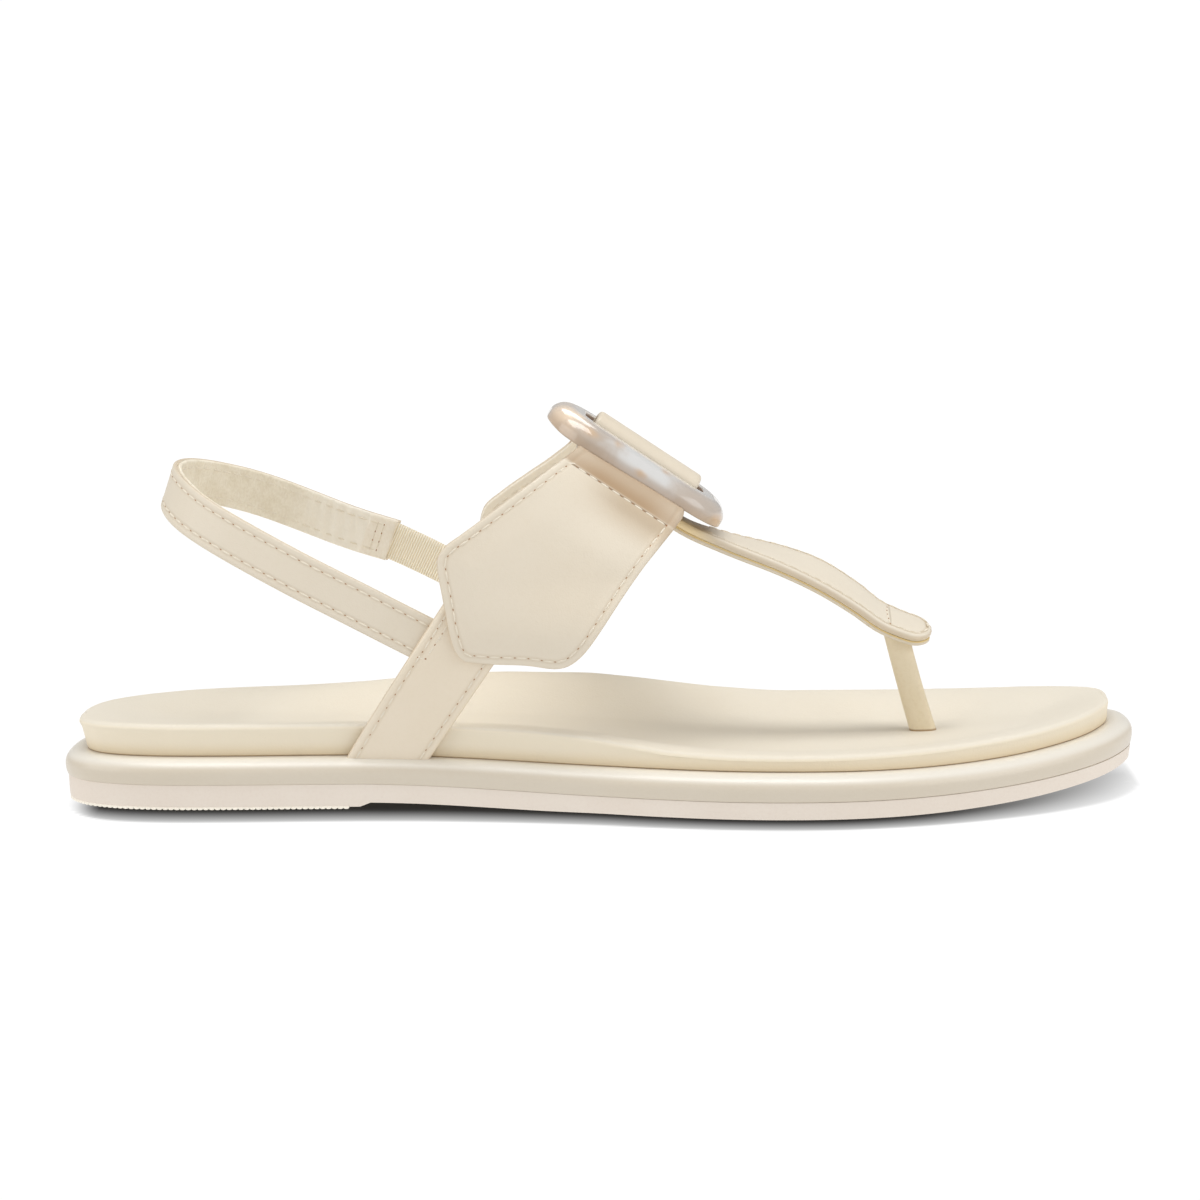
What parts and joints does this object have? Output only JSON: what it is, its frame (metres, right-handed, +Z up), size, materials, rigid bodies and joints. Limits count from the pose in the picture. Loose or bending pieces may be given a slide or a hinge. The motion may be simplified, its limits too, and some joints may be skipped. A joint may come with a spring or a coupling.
{
  "type": "t-strap sandal",
  "caption": "Flat t-strap sandal for the right foot: cupped leather footbed on a rounded rand and rubber outsole, strap upper with a domed resin buckle, heel sling and toe post.",
  "frame": {"origin": "floor, under the middle of the sandal's box", "axes": "+X towards the toe, +Y towards the inner (medial) side of the foot, +Z up"},
  "size_m": [0.2634, 0.0922, 0.0952],
  "materials": {
    "outsole_rubber": "matt pinkish cream rubber",
    "rand_leather": "smooth satin cream leather, rolled round the edge",
    "footbed_leather": "soft cream leather with a low sheen",
    "strap_leather": "smooth cream leather, stitched near its edges",
    "post_leather": "cream leather wrapped round the post",
    "elastic": "ribbed cream elastic",
    "resin": "polished pearly resin, clouded grey and tan"
  },
  "bodies": {
    "root": {"outsole": "outsole_rubber", "midsole": "rand_leather", "footbed": "footbed_leather", "upper": "strap_leather", "toe_post": "post_leather", "elastic_gore": "elastic", "buckle": "resin"}
  },
  "joints": []
}
